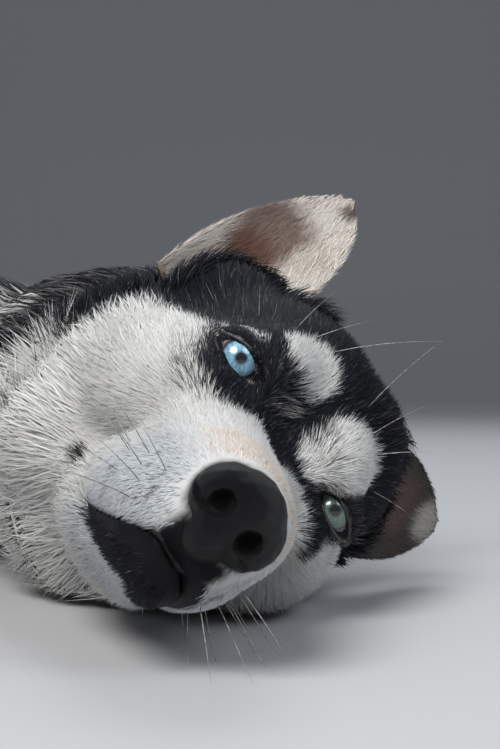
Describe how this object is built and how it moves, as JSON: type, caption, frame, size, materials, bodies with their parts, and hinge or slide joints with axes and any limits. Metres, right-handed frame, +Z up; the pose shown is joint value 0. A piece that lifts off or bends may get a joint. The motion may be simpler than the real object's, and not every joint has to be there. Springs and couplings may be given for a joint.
{
  "type": "siberian husky",
  "caption": "Life-size Siberian husky with ice-blue eyes, lying flat on its left side with its head on the ground, black and white coat.",
  "frame": {"origin": "middle of the bounding box, on the ground", "axes": "+Z up, nose towards -Y, legs towards -X, right side of the body facing up"},
  "size_m": [0.8584, 1.074, 0.1888],
  "materials": {
    "white_coat": "matte",
    "dark_coat": "matte",
    "grey_coat": "matte",
    "nose_skin": "satin",
    "blue_eye": "gloss"
  },
  "bodies": {
    "root": {"head": "dark_coat", "muzzle": "white_coat", "lower_jaw": "white_coat", "nose": "nose_skin", "ear_right": "white_coat", "ear_left": "white_coat", "eye_right": "blue_eye", "eye_left": "blue_eye", "neck": "white_coat", "chest": "grey_coat", "loin": "dark_coat", "tail": "dark_coat", "tail_end": "dark_coat", "thigh_right": "white_coat", "thigh_left": "white_coat", "forearm_right": "white_coat", "forearm_left": "white_coat", "front_paw_right": "white_coat", "front_paw_left": "white_coat", "shank_right": "white_coat", "shank_left": "white_coat", "hind_paw_right": "white_coat", "hind_paw_left": "white_coat"}
  },
  "joints": []
}
